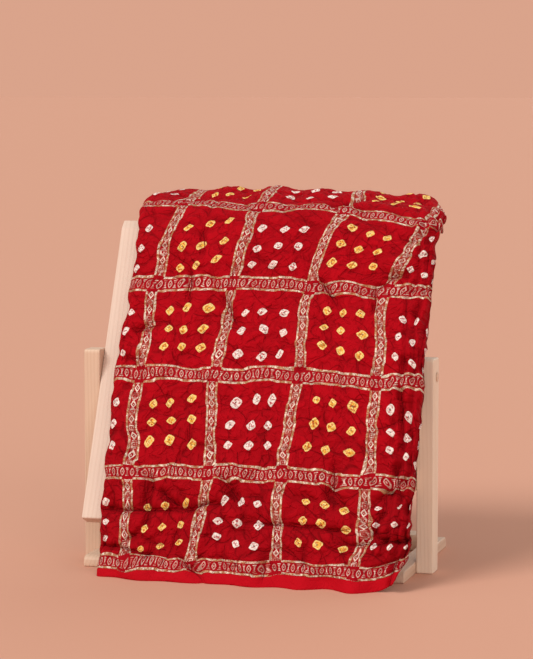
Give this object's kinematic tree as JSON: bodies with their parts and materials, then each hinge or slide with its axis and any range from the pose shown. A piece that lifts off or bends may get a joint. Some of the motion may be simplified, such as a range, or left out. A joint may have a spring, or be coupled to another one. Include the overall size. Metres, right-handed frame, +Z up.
{
  "type": "bandhani cloth on a stand",
  "caption": "Red tie-dyed cloth with metallic check bands, folded lengthwise and draped from the floor over a small leaning wooden stand, hanging down behind.",
  "frame": {"origin": "middle of the object's box, on the floor it stands on", "axes": "+Z up, +X to the right as seen from the front, -Y towards the front, where the cloth's hem lies on the floor"},
  "size_m": [0.3906, 0.2908, 0.4021],
  "materials": {
    "cloth": "matt crinkled cloth with metallic thread bands",
    "post_wood": "bare, planed smooth",
    "pale_wood": "bare, planed smooth"
  },
  "bodies": {
    "root": {"cloth": "cloth", "post_left": "post_wood", "post_right": "post_wood", "runner_left": "post_wood", "runner_right": "post_wood", "rear_bar": "post_wood", "stop_rail": "post_wood", "pin_left": "post_wood", "pin_right": "post_wood", "stile_left": "pale_wood", "stile_right": "pale_wood", "top_rail": "pale_wood", "lower_rail": "pale_wood"}
  },
  "joints": []
}
